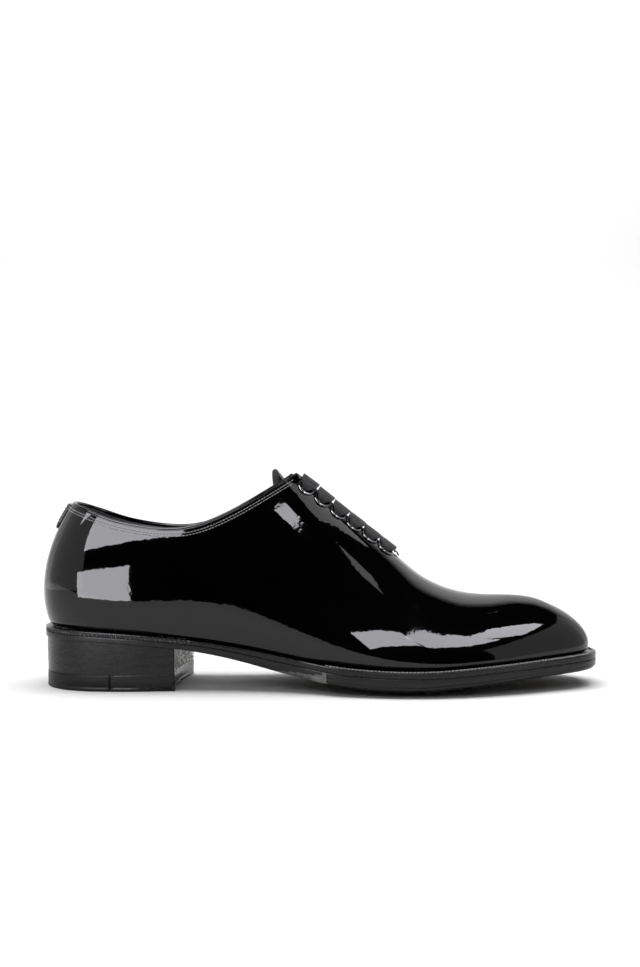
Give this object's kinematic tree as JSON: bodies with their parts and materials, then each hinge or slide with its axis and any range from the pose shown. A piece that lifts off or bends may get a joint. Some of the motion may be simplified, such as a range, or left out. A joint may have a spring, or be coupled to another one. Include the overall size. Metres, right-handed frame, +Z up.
{
  "type": "leather oxford shoe",
  "caption": "Closed-laced black patent oxford with plain one-piece upper, welted leather sole, stacked heel and flat lace drawn through metal eyelets.",
  "frame": {"origin": "on the floor, under the middle of the length and width of the bounding box", "axes": "+X towards the toe, +Y towards the inner (medial) side, +Z up"},
  "size_m": [0.3049, 0.1037, 0.1183],
  "materials": {
    "patent_leather": "black patent, glossy clear coat",
    "sole_leather": "black edge ink, waxed, satin",
    "heel_leather": "black edge ink, satin",
    "heel_rubber": "matt black",
    "lining_leather": "dark, matt",
    "insole_leather": "natural, matt",
    "cork": "pressed cork, matt",
    "shank_steel": "plain steel",
    "nail_brass": "satin",
    "eyelet_metal": "dark gunmetal, glossy",
    "textile": "black, woven, matt",
    "aglet_plastic": "black",
    "stiffener": "matt board"
  },
  "bodies": {
    "shoe": {"aglet_1": "aglet_plastic", "aglet_2": "aglet_plastic", "back_tab": "patent_leather", "bar_tack": "textile", "cork_filler": "cork", "eyelet_lateral_1": "eyelet_metal", "eyelet_lateral_2": "eyelet_metal", "eyelet_lateral_3": "eyelet_metal", "eyelet_lateral_4": "eyelet_metal", "eyelet_lateral_5": "eyelet_metal", "eyelet_lateral_6": "eyelet_metal", "eyelet_medial_1": "eyelet_metal", "eyelet_medial_2": "eyelet_metal", "eyelet_medial_3": "eyelet_metal", "eyelet_medial_4": "eyelet_metal", "eyelet_medial_5": "eyelet_metal", "eyelet_medial_6": "eyelet_metal", "facing_stay_lateral": "stiffener", "facing_stay_medial": "stiffener", "heel_counter": "stiffener", "heel_grip": "lining_leather", "heel_lift_1": "heel_leather", "heel_lift_2": "heel_leather", "heel_lift_3": "heel_leather", "heel_nail_1": "nail_brass", "heel_nail_2": "nail_brass", "heel_nail_3": "nail_brass", "heel_nail_4": "nail_brass", "heel_nail_5": "nail_brass", "heel_rand": "sole_leather", "heel_rubber_tip": "heel_rubber", "heel_top_piece": "heel_leather", "insole": "insole_leather", "insole_rib": "textile", "lace": "textile", "outsole": "sole_leather", "quarter_lining": "lining_leather", "shank": "shank_steel", "sock_liner": "lining_leather", "toe_puff": "stiffener", "topline_bead": "patent_leather", "upper": "patent_leather", "vamp_lining": "lining_leather", "welt": "sole_leather"},
    "tongue": {"tongue": "patent_leather", "tongue_lining": "lining_leather", "tongue_binding": "textile"}
  },
  "joints": [
    {"name": "tongue_fold", "type": "hinge", "parent": "shoe", "child": "tongue", "pos_m": [0.051, 0.003, 0.053], "axis": [0, -1, 0], "range_deg": [0, 12], "stiffness_Nm_per_rad": 0.5}
  ]
}
